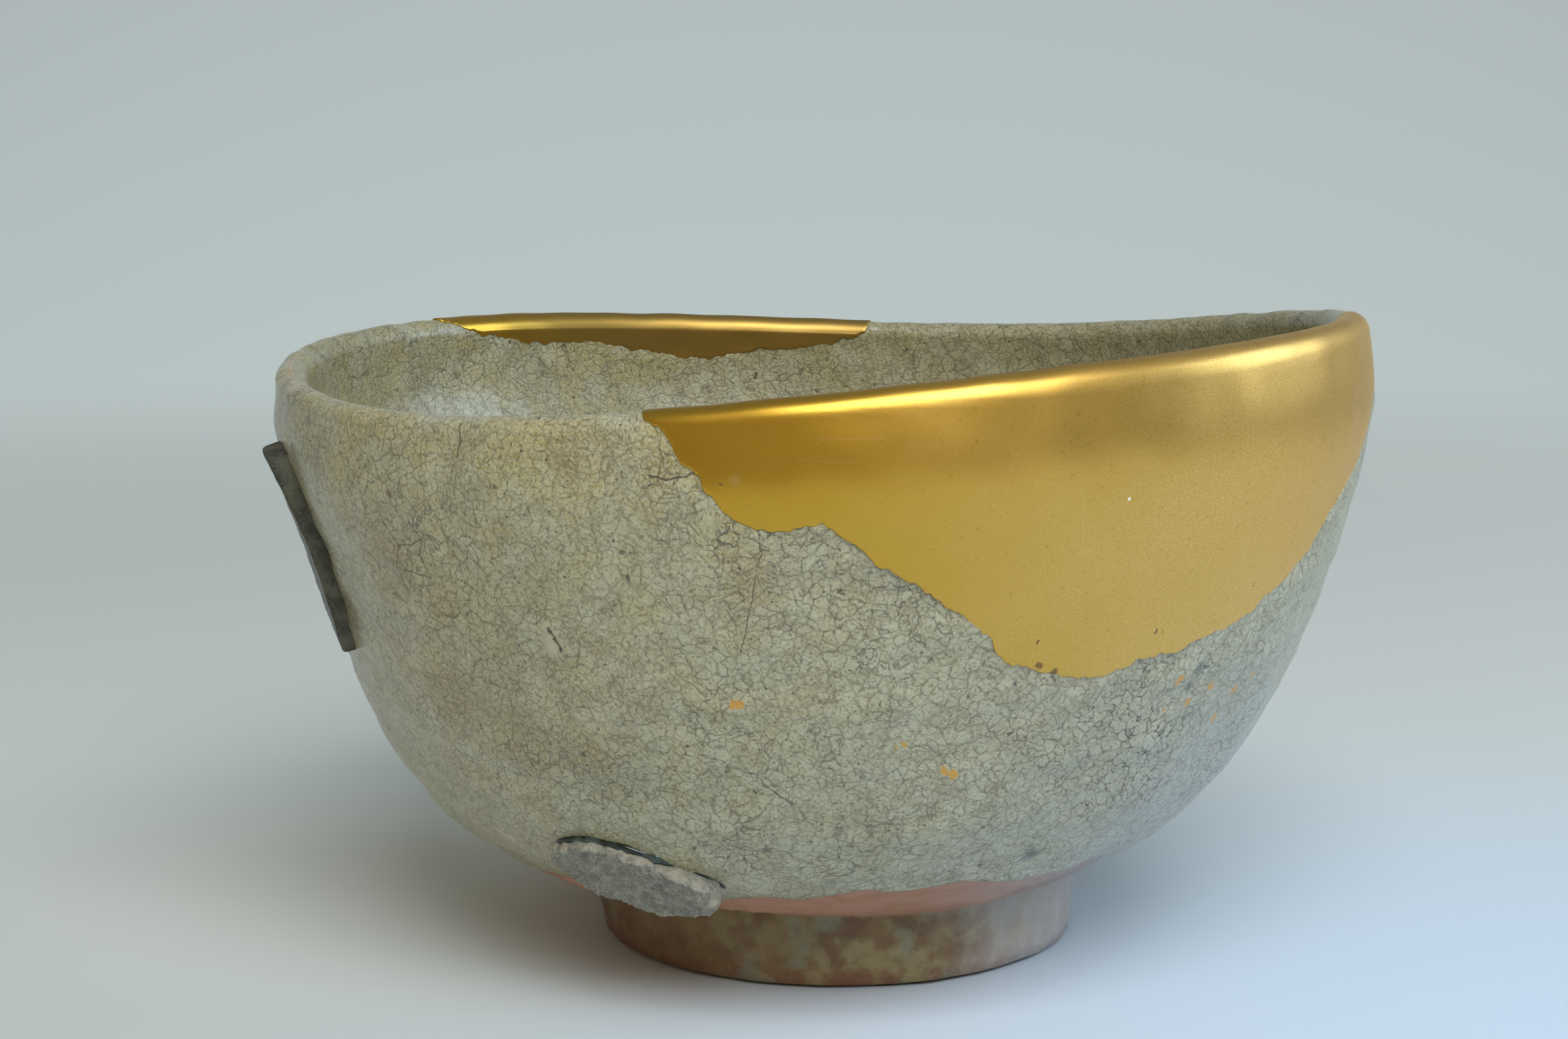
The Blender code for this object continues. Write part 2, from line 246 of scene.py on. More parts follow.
# Painted light: the paper is lighter and warmer in the bowl's shadow on its left
beside = wire.vector("DISTANCE", place, FLOOR_PAINTED_FILL_LIGHT_PLACE, output=1)
paper_colour = beside.smooth(*FLOOR_PAINTED_FILL_LIGHT_REACH).mixed(paper_colour, FLOOR_PAINTED_FILL_LIGHT_COLOUR)
away = wire.vector("LENGTH", place, output=1)
feed(
    principled,
    Base_Color=paper_colour,
    Alpha=away.smooth(FLOOR_FADE[1], FLOOR_FADE[0]),
)
ring = FLOOR_RADIUS * np.linspace(0, 1, FLOOR_RINGS)[:, None] ** 2
turn = np.linspace(0, 2 * np.pi, FLOOR_SPOKES, endpoint=False)
disc = np.stack([ring * np.cos(turn), ring * np.sin(turn), ring * np.zeros(FLOOR_SPOKES)], axis=2)
floor = piece_of(grid_mesh("paper_floor", disc, close_across=True), paper)
floor.data.flip_normals()


# The bowl
# Stoneware thrown on a wheel and warped in the kiln, with a bite broken out of its lip at the front
# and another at the back. A crackled ash glaze runs down to just above a bare clay foot.
LIP_RADIUS = 0.0710
LIP_HEIGHT = 0.0791
WALL_START_HEIGHT = 0.0119
# The outer wall, as (share of the way up from the wall's start, share of the lip's radius)
WALL_PROFILE = (
    (0.00, 0.562), (0.08, 0.678), (0.20, 0.787), (0.35, 0.866), (0.52, 0.930), (0.70, 0.980),
    (0.86, 1.011), (1.00, 1.000),
)
LIP_WALL = 0.0041
LOW_WALL = 0.0056
LIP_ROUND_SHARE = 1 - LIP_WALL / 2 / (LIP_HEIGHT - WALL_START_HEIGHT)
FLOOR_HEIGHT = 0.0140
FLOOR_MEETS_WALL = 0.25
FLOOR_TURN = math.radians(80)
# The foot, as (radius, height): down its outside, across the tread and up into the recess
FOOT_PROFILE = (
    (0.0328, 0.0100), (0.0321, 0.0010), (0.0313, 0.0000), (0.0267, 0.0000), (0.0259, 0.0008),
    (0.0251, 0.0056), (0.0235, 0.0072), (0.0086, 0.0072), (0.0000, 0.0064),
)
FOOT_HEIGHT = 0.0100
# Where the fired bowl departs from a turned one. Waves: times round, height, degrees of a crest
FOOT_CENTRE = (0.0027, -0.0006)
LEAN_AT_FOOT = (-0.0038, 0.0)
LEAN_AT_LIP = (-0.0025, 0.0006)
BELLY_LEAN = (0.0015, 0.0)
WARP_POWER = 1.5
LIP_WAVES = ((1, 0.00289, -17.5), (2, 0.00252, -29.6), (3, 0.00040, 25.3), (4, 0.00018, 9.5))
ROUNDNESS_WAVES = ((2, 0.00060, -18.3), (3, 0.00025, -44.0))
DENT_PLACE = (-165.0, 0.68)
DENT_DEPTH = 0.0012
DENT_SPREAD = (16.0, 0.18)
# Break lines, as (degrees round from +X, share of the wall's height)
FRONT_BREAK = (
    (-106.8, 1.05), (-105.8, 1.00), (-104.5, 0.983), (-103.0, 0.958), (-102.0, 0.917),
    (-100.2, 0.895), (-99.9, 0.868), (-98.8, 0.840), (-97.2, 0.815), (-95.5, 0.795),
    (-93.2, 0.790), (-91.5, 0.797), (-89.8, 0.800), (-88.2, 0.780), (-86.2, 0.750),
    (-84.5, 0.720), (-81.2, 0.685), (-79.0, 0.652), (-76.5, 0.625), (-74.2, 0.590),
    (-73.2, 0.580), (-72.9, 0.556), (-71.0, 0.532), (-67.8, 0.515), (-63.5, 0.492),
    (-60.0, 0.492), (-58.0, 0.505), (-54.8, 0.512), (-50.8, 0.515), (-46.0, 0.535),
    (-40.5, 0.555), (-38.8, 0.578), (-35.7, 0.595), (-31.2, 0.645), (-27.0, 0.700),
    (-20.8, 0.766), (-18.6, 0.820), (-15.5, 0.875), (-11.0, 0.935), (-7.0, 0.990), (-6.0, 1.05),
)
BACK_BREAK = (
    (83.0, 1.05), (84.5, 0.978), (88.2, 0.955), (92.7, 0.938), (98.2, 0.932), (101.7, 0.917),
    (105.5, 0.905), (109.5, 0.905), (113.8, 0.920), (118.5, 0.932), (122.5, 0.945),
    (129.0, 0.940), (134.2, 0.955), (140.5, 0.975), (144.5, 1.000), (145.5, 1.05),
)
# How finely the section is worked out, and the mesh's columns and its rows on each stretch
SECTION_STEPS = {"lip": 16, "wall": 240, "foot": 12, "inside": 200, "floor": 80}
BOWL_COLUMNS = 680
BOWL_ROWS = {"lip": 9, "wall": 39, "edge": 26, "under": 26, "inside": 38, "broken": 8}
LIP_REACH = 0.0036
EDGE_ROWS_FROM = 0.10
EDGE_ROWS_PAST = 0.0075
# How far below the crest the rows give way to the break
ROWS_GIVE_WAY = 0.062
# Relief, as (height, length): rings of the throwing, lumps and dimples of the glaze, grain of the
# bare clay and of the broken edge. The finer rings' height is a share of the first rings'.
THROWN_RINGS = (0.00007, 0.0085)
FINER_RINGS = (0.5, 0.0043)
LUMPS = (0.00016, 0.021)
DIMPLES = (0.00005, 0.006)
CLAY_GRAIN = (0.00006, 0.0025)
CLAY_LUMPS = (0.00007, 0.007)
BREAK_LUMPS = (0.00010, 0.0016)
BREAK_GRAIN = (0.00005, 0.0006)
BREAK_SUNK = 0.00012
GLAZE_ROLL = 0.00012
GLAZE_ROLL_PLACE = 0.0009
GLAZE_ROLL_WIDTH = 0.0008
GLAZE_THINS_OVER = 0.0005
TREAD_SMOOTH_BELOW = 0.0009
# The glaze's lower edge, as (degrees, share of the wall's height), and how thick the glaze is
GLAZE_EDGE = (
    (-180.0, 0.050), (-150.0, 0.020), (-125.0, 0.040), (-100.7, 0.048), (-91.2, 0.062),
    (-83.2, 0.068), (-75.8, 0.074), (-67.2, 0.080), (-57.7, 0.082), (-49.2, 0.078),
    (-20.0, 0.040), (20.0, 0.065), (60.0, 0.045), (110.0, 0.070), (150.0, 0.035),
    (180.0, 0.050),
)
GLAZE_THICK = 0.00028
# What the height above the glaze's edge is set to inside the bowl and on the broken edge
INSIDE = 0.20
BROKEN = -0.02


def smooth_curve(knots, at):
    """Cubic Hermite curve through (place, value) knots, with slopes from each knot's neighbours."""
    knot, value = np.array(knots).T
    slope = np.gradient(value, knot)
    i = np.clip(np.searchsorted(knot, at, side="right") - 1, 0, len(knot) - 2)
    span = knot[i + 1] - knot[i]
    u = (at - knot[i]) / span
    start = value[i] * (1 + 2 * u) * (1 - u) ** 2 + slope[i] * span * u * (1 - u) ** 2
    end = value[i + 1] * u * u * (3 - 2 * u) - slope[i + 1] * span * u * u * (1 - u)
    return start + end


def wall_height(share):
    """Height at a share of the way up the wall, from its start to the lip."""
    return WALL_START_HEIGHT + (LIP_HEIGHT - WALL_START_HEIGHT) * share


def outer_radius(share):
    """Radius of the outside at a share of the wall: the lip's radius times the profile's curve."""
    return LIP_RADIUS * smooth_curve(WALL_PROFILE, share)


def inner_radius(share):
    """Radius of the inside: the outer one less a wall that thins evenly up to the lip."""
    return outer_radius(share) - LOW_WALL - (LIP_WALL - LOW_WALL) * share


def warped(points):
    """Moves points of the turned form to where the fired bowl has them: going up the wall, circles
    lean off the foot's centre, go out of round, and rise and dip in waves."""
    x, y, z = points[..., 0], points[..., 1], points[..., 2]
    angle = np.arctan2(y, x)
    share = (z - WALL_START_HEIGHT) / (LIP_HEIGHT - WALL_START_HEIGHT)
    up = np.clip(share, 0, 1)
    on_wall = np.clip((z - FOOT_HEIGHT) / (WALL_START_HEIGHT - FOOT_HEIGHT), 0, 1)
    weight = np.clip(share, 0, None) ** WARP_POWER

    def wave(waves):
        """The sum of these cosine waves round the bowl."""
        return sum(high * np.cos(n * (angle - math.radians(crest))) for n, high, crest in waves)

    beside = 1 - np.cos(angle - math.radians(DENT_PLACE[0]))
    beside /= 1 - math.cos(math.radians(DENT_SPREAD[0]))
    above = ((share - DENT_PLACE[1]) / DENT_SPREAD[1]) ** 2
    out = weight * wave(ROUNDNESS_WAVES) - DENT_DEPTH * np.exp(-beside - above)
    moved = [x + out * np.cos(angle), y + out * np.sin(angle)]
    for axis in (0, 1):
        straight = LEAN_AT_FOOT[axis] * (1 - up) + LEAN_AT_LIP[axis] * up
        lean = straight + BELLY_LEAN[axis] * 4 * up * (1 - up)
        moved[axis] = moved[axis] + FOOT_CENTRE[axis] + on_wall * lean
    return np.stack([*moved, z + weight * wave(LIP_WAVES)], axis=-1)


def section_table():
    """The bowl's section as (arc length from the lip's crest, radius, height): below nought down
    the inner wall to the floor's centre, above nought down the outer wall and under the foot."""
    centre = outer_radius(LIP_ROUND_SHARE) - LIP_WALL / 2, LIP_HEIGHT - LIP_WALL / 2
    swing = np.linspace(0, np.pi / 2, SECTION_STEPS["lip"])[:-1]
    arc = LIP_WALL / 2 * np.sin(swing), LIP_WALL / 2 * np.cos(swing)
    down = np.linspace(LIP_ROUND_SHARE, 0, SECTION_STEPS["wall"])
    foot = np.array(FOOT_PROFILE)
    steps = np.linspace(0, len(foot) - 1, SECTION_STEPS["foot"] * (len(foot) - 1) + 1)
    foot_r, foot_z = (np.interp(steps, np.arange(len(foot)), foot[:, i]) for i in (0, 1))
    outer = np.array(
        [
            np.concatenate([centre[0] + arc[0], outer_radius(down), foot_r]),
            np.concatenate([centre[1] + arc[1], wall_height(down), foot_z]),
        ]
    )
    low = np.linspace(LIP_ROUND_SHARE, FLOOR_MEETS_WALL, SECTION_STEPS["inside"])
    reach = inner_radius(FLOOR_MEETS_WALL)
    rise = wall_height(FLOOR_MEETS_WALL) - FLOOR_HEIGHT
    turn = np.linspace(FLOOR_TURN, 0, SECTION_STEPS["floor"])[1:]
    floor_r = reach * np.sin(turn) / math.sin(FLOOR_TURN)
    floor_z = FLOOR_HEIGHT + rise * (1 - np.cos(turn)) / (1 - math.cos(FLOOR_TURN))
    inner = np.array(
        [
            np.concatenate([centre[0] - arc[0], inner_radius(low), floor_r]),
            np.concatenate([centre[1] + arc[1], wall_height(low), floor_z]),
        ]
    )
    table = []
    for side, line in ((-1, inner), (1, outer)):
        run = np.concatenate([[0], np.cumsum(np.hypot(*np.diff(line, axis=1)))])
        table.append(np.array([side * run, line[0], line[1]]))
    return np.concatenate([table[0][:, :0:-1], table[1]], axis=1)


SECTION = section_table()
SECTION_SLOPE = np.gradient(SECTION[1:], SECTION[0], axis=1)
SECTION_SLOPE /= np.hypot(*SECTION_SLOPE)
INNER_END, OUTER_END = -SECTION[0, 0], SECTION[0, -1]


def on_section(arc, angle, out=0.0):
    """Points of the turned form: the section at an arc length, pushed out square to it, turned."""
    slope_r, slope_z = (np.interp(arc, SECTION[0], s) for s in SECTION_SLOPE)
    radius = np.interp(arc, SECTION[0], SECTION[1]) - out * slope_z
    height = np.interp(arc, SECTION[0], SECTION[2]) + out * slope_r
    radius = np.maximum(radius, 0)
    return np.stack([radius * np.cos(angle), radius * np.sin(angle), height], axis=-1)


def arc_at_height(height, side):
    """How far below the lip's crest the wall reaches a height, outside (1) or inside (-1)."""
    on_wall = (SECTION[2] >= WALL_START_HEIGHT) & (SECTION[0] * side >= 0)
    run, level = SECTION[0, on_wall] * side, SECTION[2, on_wall]
    order = np.argsort(level)
    return np.interp(height, level[order], run[order])


def break_height(angle):
    """Height of the broken edge at each angle, or well above the lip where the wall is whole."""
    degrees = (np.degrees(angle) + 180) % 360 - 180
    height = np.full(np.shape(degrees), LIP_HEIGHT + 0.004)
    for line in (FRONT_BREAK, BACK_BREAK):
        knots = np.array(line)
        inside = (degrees > knots[0, 0]) & (degrees < knots[-1, 0])
        share = np.interp(degrees, knots[:, 0], knots[:, 1])
        height = np.where(inside, wall_height(share), height)
    return height


def ripples(points, size, seed, count=14):
    """Smooth noise about nought: plane waves of one length, in directions and phases of a seed."""
    random = np.random.default_rng(seed)
    way = random.normal(size=(count, 3))
    way *= 2 * np.pi / size / np.linalg.norm(way, axis=1)[:, None]
    phase = random.uniform(0, 2 * np.pi, count)
    return sum(np.cos(points @ w + p) for w, p in zip(way, phase)) / math.sqrt(count / 2)


def outer_place(degrees, share):
    """A point on the finished outer wall."""
    angle = np.radians(degrees)
    radius = outer_radius(np.asarray(share))
    turned = [radius * np.cos(angle), radius * np.sin(angle), wall_height(np.asarray(share))]
    return warped(np.stack(turned, axis=-1))


def bowl_rows():
    """Arc lengths of the mesh's rows below the crest, close together at the lip and glaze edge."""
    lip = np.linspace(0, LIP_REACH, BOWL_ROWS["lip"])
    glaze_edge = arc_at_height(wall_height(EDGE_ROWS_FROM), 1)
    spread = np.linspace(0, 1, BOWL_ROWS["wall"])[1:] ** 1.15
    wall = LIP_REACH + (glaze_edge - LIP_REACH) * spread
    wall_end = arc_at_height(WALL_START_HEIGHT, 1)
    edge = np.linspace(glaze_edge, wall_end + EDGE_ROWS_PAST, BOWL_ROWS["edge"])[1:]
    under = np.linspace(edge[-1], OUTER_END, BOWL_ROWS["under"])[1:]
    spread = np.linspace(0, 1, BOWL_ROWS["inside"])[1:] ** 1.1
    inner = LIP_REACH + (INNER_END - LIP_REACH) * spread
    return np.concatenate([lip, inner]), np.concatenate([lip, wall, edge, under])


def marked(mesh, name, values):
    """Stores one value for each point of a mesh, under this name, for its material to read."""
    attribute = mesh.attributes.new(name, "FLOAT", "POINT")
    attribute.data.foreach_set("value", values.astype(np.float32).ravel())
    return mesh


def bowl_mesh():
    """The bowl's skin on a grid of section rows by columns of angle. Where the lip is broken, rows
    start from the broken edge, and a flat band joins the inner edge to the outer one."""
    angle = np.linspace(0, 2 * np.pi, BOWL_COLUMNS, endpoint=False)
    cut = np.minimum(break_height(angle), LIP_HEIGHT)
    inner_rows, outer_rows = bowl_rows()
    arcs = []
    for side, rows in ((-1, inner_rows[:, None]), (1, outer_rows[:, None])):
        start = arc_at_height(cut, side)
        arcs.append(side * (rows + start * np.clip(1 - rows / ROWS_GIVE_WAY, 0, 1)))
    arc = np.concatenate([arcs[0][::-1], arcs[1]])
    around = np.broadcast_to(angle, arc.shape)
    plain = on_section(arc, around)

    edge_degrees = (np.degrees(around) + 180) % 360 - 180
    edge_share = np.interp(edge_degrees, *np.array(GLAZE_EDGE).T)
    edge_share = edge_share + 0.004 * ripples(plain, 0.011, 3) + 0.0015 * ripples(plain, 0.004, 4)
    over_edge = arc_at_height(wall_height(edge_share), 1) - arc
    glazed = np.clip(over_edge / GLAZE_THINS_OVER, 0, 1)
    glazed = glazed * glazed * (3 - 2 * glazed)
    roll = np.exp(-(((over_edge - GLAZE_ROLL_PLACE) / GLAZE_ROLL_WIDTH) ** 2))
    height = plain[..., 2]
    outside = arc > 0
    tilted = height + 0.0012 * np.cos(around + 0.7)
    finer = 2 * np.pi * height / FINER_RINGS[1] + 2.0 + 0.6 * np.sin(around)
    rings = np.sin(2 * np.pi * tilted / THROWN_RINGS[1]) + FINER_RINGS[0] * np.sin(finer)
    fade = np.clip((np.abs(arc) - 0.004) / 0.006, 0, 1)
    relief = fade * (THROWN_RINGS[0] * rings + LUMPS[0] * ripples(plain, LUMPS[1], 5))
    relief += DIMPLES[0] * ripples(plain, DIMPLES[1], 6)
    relief += np.where(outside, GLAZE_THICK * (glazed - 1) + GLAZE_ROLL * roll, 0)
    clay = CLAY_GRAIN[0] * ripples(plain, CLAY_GRAIN[1], 7)
    clay += CLAY_LUMPS[0] * ripples(plain, CLAY_LUMPS[1], 8)
    relief += outside * (1 - glazed) * clay
    tread = np.exp(-((height / TREAD_SMOOTH_BELOW) ** 2)) * outside
    relief *= 1 - tread
    skin = on_section(arc, around, relief)

    middle = len(inner_rows)
    across = np.linspace(0, 1, BOWL_ROWS["broken"])[1:-1, None, None]
    band = skin[middle - 1] * (1 - across) + skin[middle] * across
    broken = cut < LIP_HEIGHT
    grain = BREAK_LUMPS[0] * ripples(band, BREAK_LUMPS[1], 9)
    grain += BREAK_GRAIN[0] * ripples(band, BREAK_GRAIN[1], 10)
    band[..., 2] += np.where(broken, grain, 0) - BREAK_SUNK * broken
    points = np.concatenate([skin[:middle], band, skin[middle:]])
    mesh = grid_mesh("stoneware_bowl", warped(points), close_across=True)
    over_edge = np.concatenate([over_edge[:middle], np.zeros(band.shape[:2]), over_edge[middle:]])
    over_edge[:middle] = INSIDE
    over_edge[middle : middle + len(band)] = BROKEN
    return marked(mesh, "above_glaze_edge", over_edge)


def welded(mesh):
    """Merges points that lie at one place and drops the faces that leaves flat. A mesh whose faces
    all look inwards holds a volume below nought, and is turned round."""
    bm = bmesh.new()
    bm.from_mesh(mesh)
    bmesh.ops.remove_doubles(bm, verts=bm.verts, dist=1e-7)
    if bm.calc_volume(signed=True) < 0:
        bmesh.ops.reverse_faces(bm, faces=bm.faces)
    bm.to_mesh(mesh)
    bm.free()
    return mesh


# What a mark keeps of its distance straight out of the wall, and the radius that needs no such cut
MARK_DEPTH = 0.1
WIDE_MARK = 0.003
# Marks on the glaze, as (degrees, share of the wall's height, radius)
GOLD_SPECKS = (
    (-99.1, 0.479, 0.00055), (-98.4, 0.482, 0.00060), (-82.2, 0.393, 0.00030),
    (-81.2, 0.395, 0.00050), (-76.3, 0.338, 0.00065), (-75.2, 0.335, 0.00080),
    (-49.2, 0.450, 0.00060), (-46.5, 0.412, 0.00075), (-43.3, 0.425, 0.00075),
    (-37.5, 0.405, 0.00070), (-34.5, 0.422, 0.00060), (-39.5, 0.355, 0.00080),
    (-50.0, 0.400, 0.00035),
)
OCHRE_STAINS = (
    (-137.0, 0.720, 0.0075), (-131.0, 0.640, 0.0050), (-133.0, 0.450, 0.0080),
    (-125.0, 0.380, 0.0062), (-116.0, 0.365, 0.0050), (-104.0, 0.900, 0.0040),
    (-112.0, 0.930, 0.0060), (-96.5, 0.700, 0.0060),
)
POOL_HALO = (
    (-112.5, 0.150, 0.0032), (-108.5, 0.120, 0.0034), (-106.5, 0.095, 0.0026),
    (-121.0, 0.170, 0.0030),
)
DARK_SMUDGES = ((-60.0, 0.138, 0.0018), (-46.4, 0.465, 0.0014), (-47.2, 0.438, 0.0011))
BROWN_SPOTS = ((-135.0, 0.848, 0.0009), (-121.0, 0.880, 0.0005), (-108.5, 0.760, 0.0005))
PITS = ((-116.5, 0.575, 0.00045), (-117.4, 0.606, 0.00025), (-117.0, 0.592, 0.00025))
# Where a painted highlight lies, below and left of the pits
PIT_HIGHLIGHT_PLACE = (-117.6, 0.582, 0.00240)
# Cracks, each a line of (degrees, share of the wall's height) with its half width
DEEP_CRACKS = (
    (((-105.2, 0.893), (-103.6, 0.885), (-102.2, 0.887), (-100.2, 0.897)), 0.00010),
    (((-117.6, 0.612), (-117.0, 0.596), (-116.6, 0.575)), 0.00016),
    (((-95.5, 0.792), (-95.4, 0.748), (-95.8, 0.728), (-96.6, 0.660), (-97.8, 0.575)), 0.00005),
    (((-125.2, 0.988), (-125.0, 0.960), (-125.4, 0.927)), 0.00009),
    (((-106.8, 1.020), (-106.3, 0.985)), 0.00008),
    (((-96.0, 0.323), (-92.8, 0.285)), 0.00008),
    (((-133.0, 0.800), (-131.5, 0.765), (-132.4, 0.735), (-131.6, 0.690)), 0.00007),
    (((-137.0, 0.790), (-135.2, 0.745), (-136.4, 0.700), (-135.6, 0.650)), 0.00007),
    (((-135.2, 0.745), (-133.4, 0.750), (-131.5, 0.765)), 0.00006),
    (((-136.4, 0.700), (-134.0, 0.694), (-131.6, 0.690)), 0.00006),
)

# Colours of the glaze
ASH_DEEP, ASH_PALE = (0.300, 0.266, 0.142), (0.430, 0.400, 0.256)
OCHRE = (0.390, 0.320, 0.118)
OCHRE_STAIN = (0.280, 0.200, 0.064)
BROWN_HALO = (0.150, 0.105, 0.036)
COOL_ASH = (0.330, 0.315, 0.295)
RUST = (0.300, 0.150, 0.050)
OLIVE = (0.215, 0.190, 0.080)
PALE_GRIT, DARK_GRIT = (0.580, 0.555, 0.415), (0.120, 0.098, 0.048)
# Inside the bowl: partly painted shade, partly the glaze's more olive tone
INSIDE_PAINTED_SHADE = (0.78, 0.77, 0.72)
CRACK_SHADE = (0.160, 0.138, 0.080)
CRACK_BROWN, CRACK_DARK = (0.105, 0.085, 0.045), (0.055, 0.042, 0.028)
LONG_CRACK = (0.070, 0.054, 0.034)
FLECK = (0.040, 0.028, 0.014)
# A painted highlight beside the pits, and the pits' dark colour
PIT_HIGHLIGHT_COLOUR, PIT_DARK = (0.560, 0.500, 0.340), (0.045, 0.032, 0.020)
BROWN_SPOT = (0.110, 0.060, 0.022)
SMUDGE = (0.075, 0.068, 0.060)
DEEP_CRACK = (0.052, 0.038, 0.023)
SPECK_GOLD = (0.640, 0.330, 0.060)
# Colours of the bare clay
CLAY_DARK, CLAY_AMBER = (0.150, 0.074, 0.026), (0.225, 0.135, 0.046)
CLAY_RED = (0.230, 0.085, 0.036)
CLAY_SANDY = (0.330, 0.275, 0.120)
CLAY_MOSSY = (0.230, 0.240, 0.155)
CLAY_LILAC = (0.470, 0.420, 0.410)
FLAME_PALE, FLAME_PINK = (0.370, 0.300, 0.280), (0.450, 0.200, 0.112)

glaze, wire, principled = new_material(
    "crackled_ash_glaze", IOR=1.5, Coat_Weight=0.45, Coat_Roughness=0.22
)
place = wire.node("TexCoord", {}, {}, 3)
over_edge = wire.node("Attribute", {"attribute_name": "above_glaze_edge"}, {}, 2)


def noise(at, scale, detail, output=0):
    """Noise of this scale at these coordinates, as a value (0) or a colour (1)."""
    return wire.node("TexNoise", {}, {"Vector": at, "Scale": scale, "Detail": detail}, output)


def swayed_by(at, scale, most, detail=2.0):
    """These coordinates moved about by a noise of this scale, most this far each way."""
    sway = noise(at, scale, detail, 1)
    sway = wire.vector("MULTIPLY_ADD", sway, (4 * most,) * 3, (-2 * most,) * 3)
    return wire.vector("ADD", at, sway)


def net(at, scale, width):
    """A net of cracks between Voronoi cells: each point's distance from its cell's border, and
    the cracks, 1 where that is under a fifth of the width and 0 over the width."""
    settings = {"feature": "DISTANCE_TO_EDGE"}
    depth = wire.node("TexVoronoi", settings, {"Vector": at, "Scale": scale}, 0)
    return depth, depth.smooth(width, width * 0.2)


def cloud(scale, low, high, detail=3.0, shift=0.0):
    """Soft patches: noise of this scale, 0 under low and 1 over high."""
    moved = wire.vector("ADD", place, (shift,) * 3)
    return noise(moved, scale, detail).smooth(low, high)


def outwards(degrees):
    """The level direction at this many degrees round from +X, as (cosine, sine, 0)."""
    angle = math.radians(degrees)
    return np.array([math.cos(angle), math.sin(angle), 0.0])


def scaled(way, size):
    """A fixed direction times a wire."""
    return wire.node("VectorMath", {"operation": "SCALE"}, {"Vector": tuple(way), "Scale": size})


def from_place(at, start, degrees):
    """The way to each point from this place, its part straight out of the wall cut to a tenth, so
    that a mark keeps its shape where the skin stands a little in or out of the plain wall."""
    out = outwards(degrees)
    to = wire.vector("SUBTRACT", at, tuple(start))
    proud = to.along(*out) * (1 - MARK_DEPTH)
    return wire.vector("SUBTRACT", to, scaled(out, proud))


def spots(at, marks, soft):
    """1 inside any of these marks, falling to 0 at their radius from this soft share of it."""
    most = None
    for degrees, share, radius in marks:
        middle = outer_place(degrees, share)
        if radius < WIDE_MARK:
            far = wire.vector("LENGTH", from_place(at, middle, degrees), output=1)
        else:
            far = wire.vector("DISTANCE", at, tuple(middle), output=1)
        mask = far.smooth(radius, radius * soft)
        most = mask if most is None else wire.math("MAXIMUM", most, mask)
    return most


def strokes(at, lines):
    """1 on any of these lines: each point less its nearest point on a stretch of the line, with
    both cut to a tenth straight out of the wall."""
    most = None
    for line, half_width in lines:
        points = outer_place(*np.array(line).T)
        for (degrees, _), start, end in zip(line, points[:-1], points[1:]):
            out = outwards(degrees)
            along = end - start
            along = along - (1 - MARK_DEPTH) * out * (along @ out)
            to = from_place(at, start, degrees)
            part = to.along(*(along / (along @ along)))
            part = wire.math("MINIMUM", wire.math("MAXIMUM", part, 0.0), 1.0)
            far = wire.vector("DISTANCE", to, scaled(along, part), output=1)
            mask = far.smooth(half_width * 1.8, half_width * 0.6)
            most = mask if most is None else wire.math("MAXIMUM", most, mask)
    return most


east = place.along(1.0, 0.0, 0.0)
high = place.along(0.0, 0.0, 1.0)
shaky = swayed_by(place, 1300.0, 0.00014)
wavy = swayed_by(shaky, 190.0, 0.0010)
loose = swayed_by(place, 420.0, 0.0006, 4.0)

# The melted ash: pale cells under a warm and a cool cast, stained ochre and olive on the left
pale = cloud(300.0, 0.36, 0.64)
colour = pale.mixed(ASH_DEEP, ASH_PALE)
ochre = cloud(170.0, 0.42, 0.62, shift=3.1)
warm = east.smooth(0.045, -0.035) * 0.55 + high.smooth(0.045, 0.080) * 0.50
colour = (ochre * warm * 0.80).mixed(colour, OCHRE)
stained = spots(loose, OCHRE_STAINS, 0.1) * cloud(260.0, 0.12, 0.50, shift=6.2)
colour = (stained * 0.85).mixed(colour, OCHRE_STAIN)
haloed = spots(loose, POOL_HALO, 0.1) * cloud(420.0, 0.20, 0.60, shift=9.9)
colour = (haloed * 0.85).mixed(colour, BROWN_HALO)
cool = east.smooth(0.005, 0.060) * high.smooth(0.060, 0.020)
colour = (cool * 0.75).mixed(colour, COOL_ASH)
rust = cloud(330.0, 0.66, 0.76, shift=4.4)
colour = (rust * 0.45).mixed(colour, RUST)
olive = cloud(70.0, 0.50, 0.70, shift=7.7) * east.smooth(0.02, -0.03)
colour = (olive * 0.45).mixed(colour, OLIVE)
grit = cloud(3000.0, 0.34, 0.66, detail=2.0)
colour = (grit * 0.48).mixed(colour, PALE_GRIT)
dark_grit = cloud(2300.0, 0.54, 0.68, detail=2.0, shift=1.3)
colour = (dark_grit * 0.60).mixed(colour, DARK_GRIT)

# Inside the bowl the glaze is made darker and more olive: the darkening is painted shade, the olive
# tint the glaze's own tone.
inner = over_edge.smooth(INSIDE * 0.7, INSIDE * 0.9)
colour = (inner * 0.75).mixed(colour, INSIDE_PAINTED_SHADE, "MULTIPLY")

